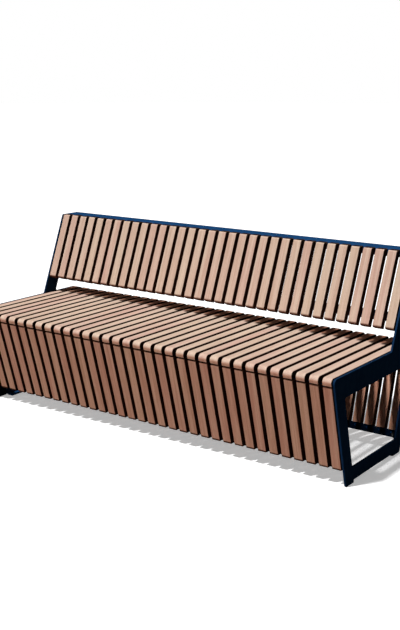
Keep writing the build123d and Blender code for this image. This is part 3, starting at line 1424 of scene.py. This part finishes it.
    def set_out(
        self, name: str, pattern: bpy.types.Object, places: list[Vector], axis: Vector,
        finish: bpy.types.Material, seed: int,
    ) -> bpy.types.Object:
        """Sets one kind of fastener at its places.

        Args:
            name: The piece's name.
            pattern: The fastener.
            places: Where it goes.
            axis: The way it points.
            finish: Its material.
            seed: Seed of the turns.

        Returns:
            The piece.
        """
        shape = bmesh.new()
        for place in places:
            shape.verts.new(place)
        piece = new_object(name, shape)
        self.tree.run(piece, {"Fastener": pattern, "Axis": axis, "Seed": seed, "Finish": finish})
        return piece

    def build(self, nodes: dict[str, bpy.types.Object]) -> None:
        """Builds the studs, the nuts and the screws.

        Args:
            nodes: The CAD nodes' objects.
        """
        nut, stud, screw = self.nut(), self.stud(), self.screw()
        for seed, (side, sign) in enumerate(SIDES.items(), start=5):
            inwards = Vector((-sign, 0.0, 0.0))
            for kind, pattern in (("nuts", nut), ("weld_studs", stud)):
                node = f"{side}_{kind}"
                middles = self.island_middles(nodes[node])
                piece = self.set_out(f"{node}_zinc", pattern, middles, inwards, self.plated, seed)
                enlist(piece, [node])
        count, pitch = self.lines.slat_count, self.lines.slat_pitch
        first = -pitch * (count - 1) / 2
        for seed, (name, rows) in enumerate(self.screw_rows().items(), start=31):
            parts = []
            coated = "skirt" in name
            finish = self.coated if coated else self.plated
            for number, ((y, z), axis) in enumerate(rows):
                places = [Vector((first + pitch * k, y, z)) for k in range(count)]
                way, turn_seed = Vector((0.0, *axis)), seed * 7 + number
                parts.append(self.set_out(f"{name}_{number}", screw, places, way, finish, turn_seed))
            enlist(join(name, parts), [])
        for pattern in (nut, stud, screw):
            bpy.data.objects.remove(pattern)


@dataclass(frozen=True)
class Sun:
    """A lamp far off."""

    name: str
    travel: tuple[float, float, float]
    strength: float
    angle: float

    def build(self) -> None:
        """Hangs the lamp."""
        data = bpy.data.lights.new(self.name, "SUN")
        data.energy = self.strength
        data.angle = self.angle
        made = bpy.data.objects.new(self.name, data)
        made.rotation_mode = "QUATERNION"
        made.rotation_quaternion = Vector(self.travel).to_track_quat("-Z", "Y")
        bpy.context.scene.collection.objects.link(made)


@dataclass
class Studio:
    """Camera at the photograph's angle, lamps, world and a pale floor."""

    camera_place: tuple[float, float, float] = (2.6393, -3.5493, 1.5422)
    yaw: float = 0.6237558
    pitch: float = 0.2340040
    lens: float = 59.78
    sky_level: float = 0.03
    floor_bounce: Colour = (0.03, 0.03, 0.03, 1.0)
    floor_glow: float = 0.385
    floor_radius: float = 40.0
    floor_segments: int = 64

    suns: ClassVar[tuple[Sun, ...]] = (
        Sun("main_lamp", (0.20, 0.58, -1.0), 3.52, radians(4.3)),
        Sun("front_lamp", (0.35, 1.0, -0.10), 0.78, radians(50.0)),
        Sun("back_lamp", (0.0, -1.0, -0.08), 0.45, radians(40.0)),
    )

    def camera(self) -> None:
        """Sets the camera."""
        data = bpy.data.cameras.new("camera")
        data.lens = self.lens
        made = bpy.data.objects.new("camera", data)
        made.location = self.camera_place
        made.rotation_euler = (pi / 2 - self.pitch, 0.0, self.yaw)
        bpy.context.scene.collection.objects.link(made)
        bpy.context.scene.camera = made

    def lamps(self) -> None:
        """Hangs the lamps."""
        for sun in self.suns:
            sun.build()

    @staticmethod
    def seen(wiring: Wiring) -> bpy.types.NodeSocket:
        """Tells the rays that show the background from those that light the object.

        Args:
            wiring: The tree that asks.

        Returns:
            1 for the first kind, 0 for the second.
        """
        path = wiring.add("ShaderNodeLightPath").outputs
        direct = wiring.maths("MAXIMUM", path["Is Camera Ray"], path["Is Glossy Ray"])
        return wiring.maths("MAXIMUM", direct, path["Is Transmission Ray"])

    def world(self) -> None:
        """Makes a dim sky that looks white."""
        world = bpy.data.worlds.new("studio")
        bpy.context.scene.world = world
        world.use_nodes = True
        world.node_tree.nodes.clear()
        wiring = Wiring(world.node_tree)
        inputs = {0: self.seen(wiring), 3: self.sky_level, 4: 1.0}
        strength = wiring.add("ShaderNodeMapRange", inputs).outputs[0]
        sky = wiring.add("ShaderNodeBackground", {"Color": WHITE, "Strength": strength})
        wiring.add("ShaderNodeOutputWorld", {"Surface": sky.outputs[0]})

    def floor(self) -> None:
        """Lays a floor that looks white and keeps the bench's shadow."""
        shape = bmesh.new()
        segments, radius = self.floor_segments, self.floor_radius
        bmesh.ops.create_circle(shape, cap_ends=True, segments=segments, radius=radius)
        piece = new_object("floor", shape)
        material = bpy.data.materials.new("floor_white")
        material.use_nodes = True
        material.node_tree.nodes.clear()
        wiring = Wiring(material.node_tree)
        seen = self.seen(wiring)
        colour = wiring.mix(seen, self.floor_bounce, WHITE)
        matt = wiring.add("ShaderNodeBsdfDiffuse", {"Color": colour}).outputs[0]
        glow = wiring.times(seen, self.floor_glow)
        lit = wiring.add("ShaderNodeEmission", {"Color": WHITE, "Strength": glow}).outputs[0]
        both = wiring.add("ShaderNodeAddShader", {0: matt, 1: lit}).outputs[0]
        wiring.add("ShaderNodeOutputMaterial", {"Surface": both})
        piece.data.materials.append(material)

    def build(self) -> None:
        """Sets up the view."""
        bpy.context.scene.view_settings.view_transform = "Standard"
        self.camera()
        self.lamps()
        self.world()
        self.floor()


# Paler tones for the painted highlight on upturned faces; the brown tones are the timber's own.
PAINTED_LIGHT_TONES = TimberTones((0.766, 0.594, 0.473, 1.0), (0.60, 0.424, 0.314, 1.0), (0.80, 0.63, 0.51, 1.0))
BROWN = TimberTones((0.81, 0.452, 0.308, 1.0), (0.55, 0.255, 0.157, 1.0), (0.83, 0.50, 0.35, 1.0))
# Seat: painted shadow under the backrest, deeper painted shade in the gaps.
SEAT = TimberFinish(
    "seat_timber", PAINTED_LIGHT_TONES, BROWN, painted_shadow_depths=(0.192, 0.214), painted_shade_and_end_band=(0.08, 0.06, 0.055, 1.0),
)
# Backrest: painted shade on the front faces and lower rounds, darkened level tops.
BACKREST = TimberFinish(
    "backrest_timber", PAINTED_LIGHT_TONES, BROWN, painted_front_shade=(0.872, 0.868, 0.858, 1.0), low_end_band=(0.5315, 0.5415),
    dark_top_end=True,
)
# Skirts: painted shade in the joint under the seat, a dark band at the lower ends.
SKIRT = TimberFinish("skirt_timber", BROWN, BROWN, low_end_band=(0.0745, 0.0785), high_end_band=(0.4128, 0.4112))
# Coat of the side frames, with painted shade on their cut edges and inner faces.
FRAME_COAT = CoatFinish(
    "frame_coat", (0.014, 0.055, 0.128, 1.0), (0.017, 0.065, 0.150, 1.0), (0.04, 0.11, 0.21, 1.0),
    cut=(0.44, 0.43, 0.52, 1.0), inner=(0.40, 0.34, 0.33, 1.0),
)
COAT = CoatFinish(
    "navy_coat", (0.0085, 0.047, 0.135, 1.0), (0.0105, 0.056, 0.16, 1.0), (0.03, 0.10, 0.22, 1.0),
)
# Near-black copy of the navy coat for the skirt rails: painted shade.
PAINTED_SHADE_COAT = CoatFinish(
    "dark_coat", (0.0015, 0.006, 0.016, 1.0), (0.0018, 0.007, 0.019, 1.0), (0.005, 0.015, 0.034, 1.0),
)
ZINC = PlateFinish("black_zinc", (0.05, 0.052, 0.056, 1.0), (0.032, 0.034, 0.038, 1.0))


def main() -> None:
    """Builds the bench's pieces in order."""
    logging.basicConfig(level=logging.INFO, format="%(message)s")
    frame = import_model()
    nodes = frame["nodes"]
    lines = BenchLines()
    groups = FinishGroups()
    timbers = [finish.material(groups) for finish in (SEAT, BACKREST, SKIRT)]
    frame_coat, coat, dark_coat = [finish.material(groups) for finish in (FRAME_COAT, COAT, PAINTED_SHADE_COAT)]
    Slats(lines, *timbers).build(slat_row_tree())
    SteelWork(lines, frame_coat, coat, dark_coat).build(nodes, weld_tree())
    Fasteners(lines, ZINC.material(groups), coat, fastener_tree()).build(nodes)
    Studio().build()


if __name__ == "__main__":
    main()
